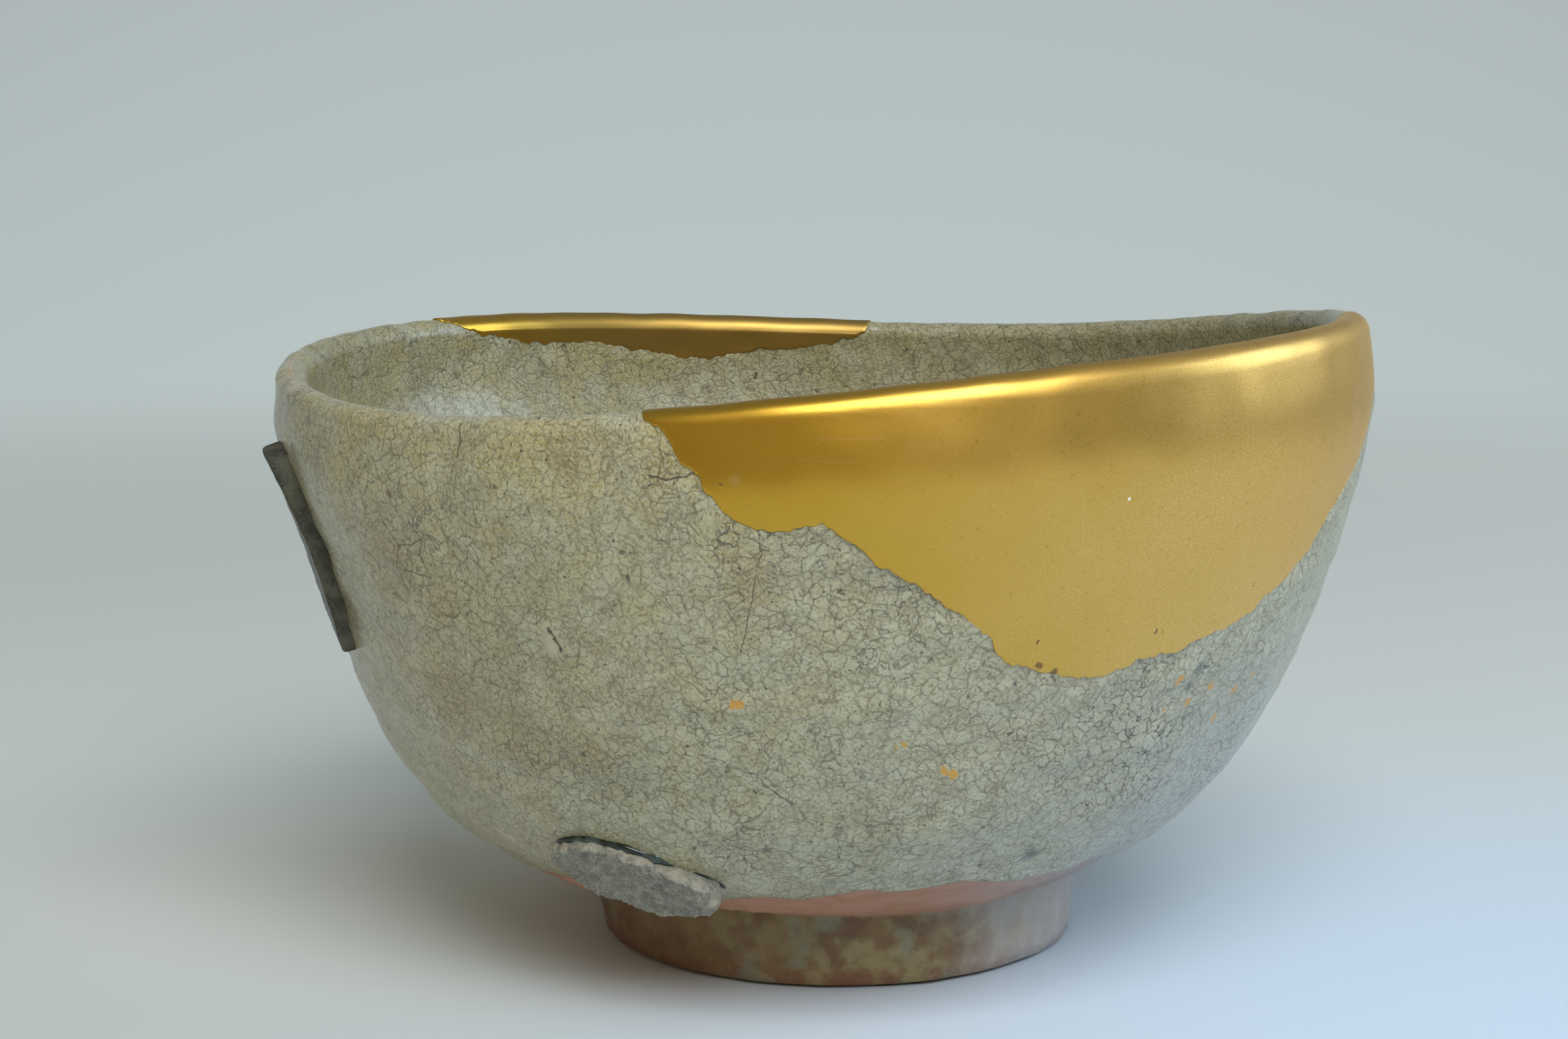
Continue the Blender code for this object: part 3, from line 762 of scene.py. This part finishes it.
# The crackle: a net of thin broken lines, a finer one inside it, and a few long cracks
depth, wide_net = net(wavy, 620.0, 0.052)
_, fine_net = net(wavy, 1150.0, 0.060)
_, long_net = net(loose, 130.0, 0.014)
shadowed = depth.smooth(0.16, 0.0)
colour = (shadowed * 0.25).mixed(colour, CRACK_SHADE)
areas = cloud(85.0, 0.38, 0.62, shift=8.0)
bold = cloud(45.0, 0.50, 0.66, shift=11.0)
wide_net = wide_net * cloud(620.0, 0.36, 0.56, shift=5.0) * (0.28 + 0.42 * areas + 0.30 * bold)
fine_net = fine_net * cloud(380.0, 0.50, 0.64, shift=2.5) * (0.06 + 0.34 * areas)
long_net = long_net * cloud(60.0, 0.52, 0.60, shift=2.0)
lines = wire.math("MAXIMUM", wide_net, fine_net)
colour = lines.mixed(colour, bold.mixed(CRACK_BROWN, CRACK_DARK))
colour = (long_net * 0.6).mixed(colour, LONG_CRACK)


def flecks(scale, chance, small, large):
    """Round flecks, one in a cell at most, in this share of the cells and between these sizes."""
    far = wire.node("TexVoronoi", {"feature": "F1"}, {"Vector": loose, "Scale": scale}, 0)
    pick = far.other(1).along(1.0, 0.0, 0.0)
    size = small + (large - small) * pick.smooth(1 - chance, 1.0)
    return wire.math("LESS_THAN", far, size) * pick.smooth(1 - chance, 1 - chance + 0.02)


fleck = wire.math("MAXIMUM", flecks(300.0, 0.45, 0.04, 0.11), flecks(900.0, 0.50, 0.06, 0.16))
colour = (fleck * 0.75).mixed(colour, FLECK)

# The marks
outer = 1 - inner
# Beside the pits a pale patch is a painted highlight; the pits themselves are dark.
pit_highlight, pit = spots(loose, (PIT_HIGHLIGHT_PLACE,), 0.1) * outer, spots(loose, PITS, 0.5) * outer
colour = (pit_highlight * 0.8).mixed(colour, PIT_HIGHLIGHT_COLOUR)
colour = (pit * 0.9).mixed(colour, PIT_DARK)
spotted = spots(loose, BROWN_SPOTS, 0.3) * outer
colour = (spotted * 0.8).mixed(colour, BROWN_SPOT)
smudged = spots(loose, DARK_SMUDGES, 0.1) * outer * 0.75
colour = smudged.mixed(colour, SMUDGE)
crack = strokes(shaky, DEEP_CRACKS) * outer
colour = (crack * 0.85).mixed(colour, DEEP_CRACK)
speck = spots(loose, GOLD_SPECKS, 0.6) * outer
colour = speck.mixed(colour, SPECK_GOLD)

# The clay below the glaze: a flame-pink rim, then amber with patches of ash
brown = cloud(260.0, 0.25, 0.75)
clay = brown.mixed(CLAY_DARK, CLAY_AMBER)
red = high.smooth(0.0036, 0.0004) * 0.7
clay = red.mixed(clay, CLAY_RED)
right = (east + cloud(120.0, 0.0, 1.0, shift=3.3) * 0.03).smooth(-0.010, 0.025)
sandy = cloud(300.0, 0.42, 0.66, shift=9.4) * right
clay = (sandy * 0.75).mixed(clay, CLAY_SANDY)
mossy = cloud(210.0, 0.50, 0.66, shift=2.7) * (east + 0.016).smooth(0.0, 0.008)
clay = (mossy * 0.65).mixed(clay, CLAY_MOSSY)
lilac = (east + cloud(150.0, 0.0, 1.0, shift=1.1) * 0.012).smooth(0.018, 0.038)
clay = (lilac * 0.75).mixed(clay, CLAY_LILAC)
pink = (high + cloud(420.0, 0.0, 1.0) * 0.0010).smooth(0.0100, 0.0108)
flame = east.smooth(0.040, 0.010)
clay = (pink * 0.92).mixed(clay, flame.mixed(FLAME_PALE, FLAME_PINK))

ragged = over_edge + cloud(900.0, 0.0, 1.0) * 0.0006 - 0.0003
glazed = ragged.smooth(-0.0003, 0.0003)
roughness = 0.25 + lines * 0.25 + grit * 0.15 - speck * 0.05
bump = depth.smooth(0.0, 0.14) * 0.8 + grit * 0.5
bare_bump = cloud(1600.0, 0.0, 1.0, detail=4.0) * 3.0
height = bump * glazed + bare_bump * (1 - glazed)
feed(
    principled,
    Base_Color=glazed.mixed(clay, colour),
    Metallic=speck * 0.5,
    Roughness=glazed * roughness + (1 - glazed) * 0.75,
    Normal=wire.node("Bump", {}, {"Height": height, "Distance": 0.00006, "Strength": 0.8}),
)

bowl = piece_of(welded(bowl_mesh()), glaze)
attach(bowl, "root")
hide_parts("bowl")


# The gilded fills
# Lacquer putty built up in the two bites, right through the wall, polished and dusted with gold
# powder. The gold laps a little way over the broken edge and stands just proud of the glaze.
FILL_PROUD = 0.00020
FILL_LAP = 0.00045
FILL_EDGE_ROUND = 0.00045
FILL_SUNK = 0.00003
FILL_RIPPLE = (0.00003, 0.008)
FILL_COLUMNS_PER_DEGREE = 6.0
FILL_ROWS = 44
FILL_BACK_ROWS = 10
# How many columns each way the nearest point of the edge is looked for
FILL_SEARCH = 24
# Ragged waves of the gold's edge, as (height, length, seed)
EDGE_WAVES = ((0.00008, 0.0011, 21), (0.00012, 0.0031, 22))


def lapped_edge(angle):
    """Height of the gold's edge: the break line moved outwards all along it by the lap, as the
    lowest of many small discs set along the line, with a fine ragged wave."""
    step = angle[1] - angle[0]
    reach = int(math.ceil(FILL_LAP / (step * LIP_RADIUS)))
    edge = np.full(len(angle), 1.0)
    for shift in range(-reach, reach + 1):
        off = shift * step * LIP_RADIUS
        if abs(off) < FILL_LAP:
            dip = math.sqrt(FILL_LAP**2 - off**2)
            edge = np.minimum(edge, break_height(angle + shift * step) - dip)
    run = np.stack([angle * LIP_RADIUS, edge, 0 * edge], axis=1)
    return edge + sum(high * ripples(run, length, seed) for high, length, seed in EDGE_WAVES)


def fill_mesh(name, start, end):
    """One fill as closed rings, each up the outside, over the lip, down the inside and back
    through the wall. The skin sinks to the glaze in a quarter circle near its edge."""
    columns = int((end - start) * FILL_COLUMNS_PER_DEGREE)
    angle = np.radians(np.linspace(start, end, columns))
    edge = np.minimum(lapped_edge(angle), LIP_HEIGHT)
    low_out, low_in = arc_at_height(edge, 1), arc_at_height(edge, -1)
    share = np.sin(np.linspace(0, 1, FILL_ROWS) * np.pi / 2)
    arc = np.concatenate([-low_in * share[::-1, None], low_out * share[1:, None]])
    around = np.broadcast_to(angle, arc.shape)
    flat = np.stack([around * LIP_RADIUS, arc], axis=-1)
    far = np.full(arc.shape, 1.0)
    for low in (low_out, -low_in):
        line = np.stack([angle * LIP_RADIUS, low], axis=1)
        for shift in range(-FILL_SEARCH, FILL_SEARCH + 1):
            neighbour = line[np.clip(np.arange(columns) + shift, 0, columns - 1)]
            far = np.minimum(far, np.hypot(*np.moveaxis(flat - neighbour, -1, 0)))
    rise = np.clip(far / FILL_EDGE_ROUND, 0, 1)
    skin_out = (FILL_PROUD + FILL_SUNK) * np.sqrt(1 - (1 - rise) ** 2) - FILL_SUNK
    plain = on_section(arc, around)
    skin_out = skin_out + rise * FILL_RIPPLE[0] * ripples(plain, FILL_RIPPLE[1], 23)
    skin = on_section(arc, around, skin_out)
    back = np.linspace(0, 1, FILL_BACK_ROWS)[1:, None, None]
    under = skin[-1] * (1 - back) + skin[0] * back
    mesh = grid_mesh(name, warped(np.concatenate([skin, under])))
    return marked(mesh, "from_edge", np.concatenate([far, np.zeros(under.shape[:2])]))


# Marks on the gold, as (degrees, share of the wall's height, radius)
GOLD_STAINS = (
    (-68.2, 0.520, 0.00060), (-66.3, 0.506, 0.00060), (-98.7, 0.873, 0.00030),
    (-68.8, 0.562, 0.00028), (-55.0, 0.552, 0.00034), (-54.1, 0.550, 0.00024),
)
WHITE_SPECK = (-61.0, 0.787, 0.00025)
PALE_BLOTCH = (-97.3, 0.878, 0.00110)
SCRATCHES = (
    (((-90.0, 0.935), (-84.0, 0.925)), 0.00006),
    (((-92.0, 0.905), (-86.5, 0.890)), 0.00005),
    (((-66.0, 0.820), (-65.2, 0.700)), 0.00006),
)

# Colours of the gold and the lacquer under it
GOLD_DEEP, GOLD_BRIGHT = (0.74, 0.42, 0.090), (0.92, 0.61, 0.22)
# The gold's left side, painted darker as painted shade
GOLD_PAINTED_SHADE = (0.600, 0.345, 0.036)
# The gold on the far side, painted darker as painted shade
GOLD_FAR_PAINTED_SHADE = (0.340, 0.235, 0.090)
GOLD_BROWN = (0.40, 0.22, 0.04)
GOLD_BLOTCH = (0.72, 0.56, 0.22)
GOLD_SCRATCH = (0.90, 0.72, 0.38)
LACQUER = (0.070, 0.030, 0.014)
WHITE = (0.85, 0.83, 0.75)

gold, wire, principled = new_material("gold_powder_on_lacquer")
place = wire.node("TexCoord", {}, {}, 3)
from_edge = wire.node("Attribute", {"attribute_name": "from_edge"}, {}, 2)
powder = noise(place, 7500.0, 1.0)
patch = noise(place, 60.0, 4.0)
east = place.along(1.0, 0.0, 0.0)
# Towards the left the gold is painted darker and deeper, with fewer bright grains: painted shade
# for the dim room that side faces. It is also made a little smoother there.
painted_shade_left = (east + patch * 0.03).smooth(0.072, 0.000)
far_side = place.along(0.0, 1.0, 0.0).smooth(0.040, 0.060)
dusted = powder.smooth(0.30, 0.75) * (1 - painted_shade_left * 0.8)
colour = dusted.mixed(GOLD_DEEP, GOLD_BRIGHT)
colour = (painted_shade_left * 0.9).mixed(colour, GOLD_PAINTED_SHADE)
# On the far side of the bowl the gold is painted darker and duller: painted shade. It is made
# rougher there too.
colour = (far_side * 0.6).mixed(colour, GOLD_FAR_PAINTED_SHADE)
worn = cloud(1200.0, 0.68, 0.76, detail=1.0, shift=4.0)
colour = (worn * 0.25).mixed(colour, GOLD_BROWN)
blotch = spots(place, (PALE_BLOTCH,), 0.1) * 0.35
colour = blotch.mixed(colour, GOLD_BLOTCH)
colour = (strokes(place, SCRATCHES) * 0.14).mixed(colour, GOLD_SCRATCH)
stain = spots(swayed_by(place, 1500.0, 0.00025), GOLD_STAINS, 0.5)
lacquer = (from_edge + cloud(800.0, 0.0, 1.0) * 0.00016).smooth(0.00022, 0.00010)
lacquer = lacquer * cloud(140.0, 0.44, 0.60, shift=1.7)
dark = wire.math("MAXIMUM", stain * 0.75, lacquer)
colour = dark.mixed(colour, LACQUER)
white = spots(place, (WHITE_SPECK,), 0.6)
colour = white.mixed(colour, WHITE)
feed(
    principled,
    Base_Color=colour,
    Metallic=1 - wire.math("MAXIMUM", dark, white),
    Roughness=0.36 + patch * 0.06 - painted_shade_left * 0.08 + dark * 0.2 + far_side * 0.12,
    Normal=wire.node(
        "Bump", {}, {"Height": powder - dark * 2.0, "Distance": 0.000012, "Strength": 0.5}
    ),
)
for name, line in (("front", FRONT_BREAK), ("back", BACK_BREAK)):
    mesh = fill_mesh(f"gilded_fill_{name}", line[0][0] - 1, line[-1][0] + 1)
    fill = piece_of(welded(mesh), gold)
    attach(fill, "root")
    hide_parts(f"gold_repair_{name}")


# The fragment at the foot
# A flake of another pot's coarse pale body that fell against the wall in the kiln and fused there.
# Its face is pitted, its broken edge is cream, and dark green glaze has pooled along its top.
FOOT_SHERD_OUTLINE = (
    (-0.0086, 0.0045), (-0.0063, 0.0005), (-0.0051, -0.0012), (-0.0032, -0.0023),
    (-0.0005, -0.0029), (0.0021, -0.0041), (0.0045, -0.0047), (0.0089, -0.0035),
    (0.0118, -0.0031), (0.0131, -0.0010), (0.0124, 0.0014), (0.0106, 0.0034), (0.0080, 0.0047),
    (0.0052, 0.0063), (0.0012, 0.0079), (-0.0018, 0.0082), (-0.0045, 0.0079), (-0.0079, 0.0063),
)
FOOT_SHERD_PLACE = (-117.0, 0.09)
FOOT_SHERD_TILT = 40.0
FOOT_SHERD_PROUD = 0.0020
# How deep a fragment's sides and its back's middle reach into the wall
SHERD_SUNK = 0.0004
SHERD_BACK = 0.0020
SHERD_REACH = 0.012
SHERD_COLUMNS = 360
SHERD_ROWS = {"face": 44, "edge": 12, "side": 10, "back": 8}
SHERD_EDGE_ROWS_FROM = 0.9
SHERD_HALVINGS = 22
# How far in from its outline a fragment's face is coloured as a broken edge
EDGE_COLOURED = 0.0006


def sherd_frame(place, tilt):
    """A fragment's own directions: across, up and out of its face, and the wall point behind it."""
    angle, tip = math.radians(place[0]), math.radians(tilt)
    across = np.array([-math.sin(angle), math.cos(angle), 0])
    level = np.array([math.cos(angle), math.sin(angle), 0])
    out = level * math.cos(tip) - np.array([0, 0, math.sin(tip)])
    radius = float(outer_radius(place[1]))
    on_wall = np.array([radius * math.cos(angle), radius * math.sin(angle), wall_height(place[1])])
    return across, np.cross(out, across), out, on_wall


def wall_radius(height):
    """Radius of the turned outer wall at a height."""
    outer = (SECTION[0] > arc_at_height(LIP_HEIGHT - LIP_WALL / 2, 1)) & (SECTION[2] > 0.002)
    order = np.argsort(SECTION[2, outer])
    return np.interp(height, SECTION[2, outer][order], SECTION[1, outer][order])


def depth_to_wall(points, out, sink):
    """How far back from each point the wall lies, within a reach, found by halving the range."""
    near, far = np.zeros(points.shape[:-1]), np.full(points.shape[:-1], SHERD_REACH)
    for _ in range(SHERD_HALVINGS):
        middle = (near + far) / 2
        at = points - middle[..., None] * out
        outside = np.hypot(at[..., 0], at[..., 1]) > wall_radius(at[..., 2]) - sink
        near, far = np.where(outside, middle, near), np.where(outside, far, middle)
    return near


def along_outline(outline, shares):
    """Points of a closed outline at these shares of the way round it."""
    knots = np.array(outline + outline[:1])
    run = np.concatenate([[0], np.cumsum(np.hypot(*np.diff(knots, axis=0).T))])
    return np.stack([np.interp(shares * run[-1], run, knots[:, i]) for i in (0, 1)], axis=1)


def sherd_mesh(name, outline, place, tilt, proud, chipping, pitting, rounding):
    """A flake: a rough face inside a closed outline, an edge that turns down over a small radius,
    sides that reach back into the wall, and a back that closes inside it."""
    across, up, out, on_wall = sherd_frame(place, tilt)
    rim = along_outline(outline, np.linspace(0, 1, SHERD_COLUMNS, endpoint=False))
    rim = sum(np.roll(rim, k, axis=0) for k in range(-4, 5)) / 9
    middle = rim.mean(axis=0)
    chips = np.stack([rim[:, 0], rim[:, 1], np.zeros(SHERD_COLUMNS)], axis=1)
    chip = chipping * (ripples(chips, 0.0022, 31) + 0.6 * ripples(chips, 0.0009, 32))
    away = (rim - middle) / np.linalg.norm(rim - middle, axis=1)[:, None]
    rim = rim + away * chip[:, None]
    face_rows = np.linspace(0, SHERD_EDGE_ROWS_FROM, SHERD_ROWS["face"])
    edge_rows = np.linspace(SHERD_EDGE_ROWS_FROM, 1.0, SHERD_ROWS["edge"])[1:]
    share = np.concatenate([face_rows, edge_rows])[:, None, None]
    flat = middle + (rim - middle) * share
    inset = np.linalg.norm(rim - middle, axis=1) * (1 - share[..., 0])
    turned_down = rounding * (1 - np.sqrt(np.clip(1 - (1 - inset / rounding).clip(0) ** 2, 0, 1)))
    spot = np.concatenate([flat, 0 * flat[..., :1]], axis=-1)
    pits = ripples(spot, 0.0031, 33) + 0.7 * ripples(spot, 0.0013, 34)
    pits = pits + 0.5 * ripples(spot, 0.0006, 35)
    face_out = proud - turned_down + pitting * pits
    face = on_wall + flat[..., :1] * across + flat[..., 1:] * up + face_out[..., None] * out
    depth = depth_to_wall(face[-1], out, SHERD_SUNK)
    steps = np.linspace(0, 1, SHERD_ROWS["side"])[1:, None]
    lumps = ripples(face[-1], 0.0016, 36) * pitting * 1.2
    side = face[-1] - (depth * steps)[..., None] * out
    side = side + (away @ np.stack([across, up])) * (lumps * np.sin(np.pi * steps))[..., None]
    inward = np.linspace(1, 0, SHERD_ROWS["back"])[1:, None, None]
    deepest = side[-1].mean(axis=0) - SHERD_BACK * out
    back = deepest + (side[-1] - deepest) * inward
    mesh = grid_mesh(name, warped(np.concatenate([face, side, back])), close_across=True)
    edge = np.ones((len(inset) + len(side) + len(back), SHERD_COLUMNS))
    edge[: len(inset)] = np.clip(1 - inset / EDGE_COLOURED, 0, 1)
    return marked(mesh, "broken_edge", edge)


BODY_DARK, BODY_PALE = (0.200, 0.190, 0.155), (0.330, 0.315, 0.255)
BODY_GRAIN, BODY_PIT = (0.520, 0.480, 0.380), (0.070, 0.062, 0.048)
BODY_BROKEN = (0.420, 0.375, 0.280)

coarse_body, wire, principled = new_material("coarse_pale_body", Roughness=0.85)
place = wire.node("TexCoord", {}, {}, 3)
edge = wire.node("Attribute", {"attribute_name": "broken_edge"}, {}, 2)
patches = noise(place, 700.0, 4.0)
fine = noise(place, 3200.0, 3.0)
colour = patches.smooth(0.30, 0.70).mixed(BODY_DARK, BODY_PALE)
colour = (fine.smooth(0.52, 0.74) * 0.5).mixed(colour, BODY_GRAIN)
colour = (fine.smooth(0.44, 0.30) * 0.7).mixed(colour, BODY_PIT)
colour = (edge * patches.smooth(0.36, 0.62) * 0.6).mixed(colour, BODY_BROKEN)
feed(
    principled,
    Base_Color=colour,
    Normal=wire.node("Bump", {}, {"Height": fine + patches, "Distance": 0.00025, "Strength": 0.9}),
)
flake = sherd_mesh(
    "fused_flake_foot",
    FOOT_SHERD_OUTLINE,
    FOOT_SHERD_PLACE,
    FOOT_SHERD_TILT,
    FOOT_SHERD_PROUD,
    chipping=0.00006,
    pitting=0.00008,
    rounding=0.00060,
)
flake = piece_of(welded(flake), coarse_body)
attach(flake, "root")
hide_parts("kiln_sherd_foot")


# The glaze that ran down to the fragment
# Ash glaze pooled in the angle between the wall and the fragment's top edge, thick enough to be
# dark green and glassy, with one round bead standing in it.
# Its ends and its bead's middle are shares of the way round the fragment's outline
POOL_FROM, POOL_TO = 0.49, 0.995
POOL_RADIUS = 0.00048
POOL_BEAD = (0.690, 0.00085)
POOL_BEAD_WIDTH = 0.012
POOL_TAPER = 0.05
POOL_LUMPS = (0.16, 0.0040)
POOL_RINGS = 120
POOL_SIDES = 16
POOL_SMOOTHED_OVER = 13
POOL_GREEN, POOL_PALE = (0.010, 0.015, 0.009), (0.055, 0.080, 0.072)


def pool_mesh(name):
    """A lumpy tube along the line where the fragment's top edge reaches the wall, thin at its ends
    and swelling to a bead."""
    across, up, out, on_wall = sherd_frame(FOOT_SHERD_PLACE, FOOT_SHERD_TILT)
    share = np.linspace(POOL_FROM, POOL_TO, POOL_RINGS)
    rim = along_outline(FOOT_SHERD_OUTLINE, share)
    line = on_wall + rim[:, :1] * across + rim[:, 1:] * up + FOOT_SHERD_PROUD * out
    line = line - depth_to_wall(line, out, 0.0)[:, None] * out
    even = np.ones(POOL_SMOOTHED_OVER) / POOL_SMOOTHED_OVER
    padded = [np.pad(p, POOL_SMOOTHED_OVER // 2, "edge") for p in line.T]
    smooth = np.stack([np.convolve(p, even, "valid") for p in padded], axis=1)
    way = np.gradient(smooth, axis=0)
    way /= np.linalg.norm(way, axis=1)[:, None]
    first = np.cross(way, out)
    first /= np.linalg.norm(first, axis=1)[:, None]
    second = np.cross(way, first)
    ends = np.clip(np.minimum(share - POOL_FROM, POOL_TO - share) / POOL_TAPER, 0, 1)
    radius = POOL_RADIUS * (1 + POOL_LUMPS[0] * ripples(smooth, POOL_LUMPS[1], 41))
    beside = (share - POOL_BEAD[0]) / POOL_BEAD_WIDTH
    radius += (POOL_BEAD[1] - POOL_RADIUS) * np.exp(-(beside**2))
    radius *= np.sqrt(ends * (2 - ends))
    turn = np.linspace(0, 2 * np.pi, POOL_SIDES, endpoint=False)[None, :, None]
    ring = first[:, None] * np.cos(turn) + second[:, None] * np.sin(turn)
    skin = smooth[:, None] + radius[:, None, None] * ring
    return grid_mesh(name, warped(skin), close_across=True)


green_glass, wire, principled = new_material("pooled_green_glaze", IOR=1.52, Roughness=0.07)
place = wire.node("TexCoord", {}, {}, 3)
murky = noise(place, 500.0, 3.0)
feed(principled, Base_Color=murky.smooth(0.44, 0.66).mixed(POOL_GREEN, POOL_PALE))
pool = piece_of(welded(pool_mesh("pooled_glaze_foot")), green_glass)
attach(pool, "root")


# The fragment on the side
# A thin dark slab of a glazed pot, fused flat to the wall and seen edge-on from the front.
SIDE_SHERD_OUTLINE = (
    (-0.0110, -0.0060), (-0.0065, -0.0118), (0.0020, -0.0132), (0.0108, -0.0136),
    (0.0116, -0.0090), (0.0104, 0.0010), (0.0088, 0.0085), (0.0062, 0.0137), (0.0005, 0.0143),
    (-0.0072, 0.0118), (-0.0126, 0.0040),
)
SIDE_SHERD_PLACE = (-165.0, 0.66)
SIDE_SHERD_TILT = 18.5
SIDE_SHERD_PROUD = 0.0011
SLAB_DARK, SLAB_PALE = (0.030, 0.032, 0.022), (0.085, 0.085, 0.055)
SLAB_BROKEN = (0.105, 0.088, 0.060)

dark_body, wire, principled = new_material("dark_glazed_slab", IOR=1.5)
place = wire.node("TexCoord", {}, {}, 3)
edge = wire.node("Attribute", {"attribute_name": "broken_edge"}, {}, 2)
patches = noise(place, 420.0, 4.0)
fine = noise(place, 2600.0, 3.0)
colour = patches.smooth(0.40, 0.65).mixed(SLAB_DARK, SLAB_PALE)
colour = (edge * fine.smooth(0.45, 0.62) * 0.6).mixed(colour, SLAB_BROKEN)
feed(
    principled,
    Base_Color=colour,
    Roughness=0.35 + edge * 0.35,
    Normal=wire.node("Bump", {}, {"Height": fine + patches, "Distance": 0.00018, "Strength": 0.8}),
)
slab = sherd_mesh(
    "fused_slab_side",
    SIDE_SHERD_OUTLINE,
    SIDE_SHERD_PLACE,
    SIDE_SHERD_TILT,
    SIDE_SHERD_PROUD,
    chipping=0.00005,
    pitting=0.00002,
    rounding=0.00075,
)
slab = piece_of(welded(slab), dark_body)
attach(slab, "root")
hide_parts("kiln_sherd_side")
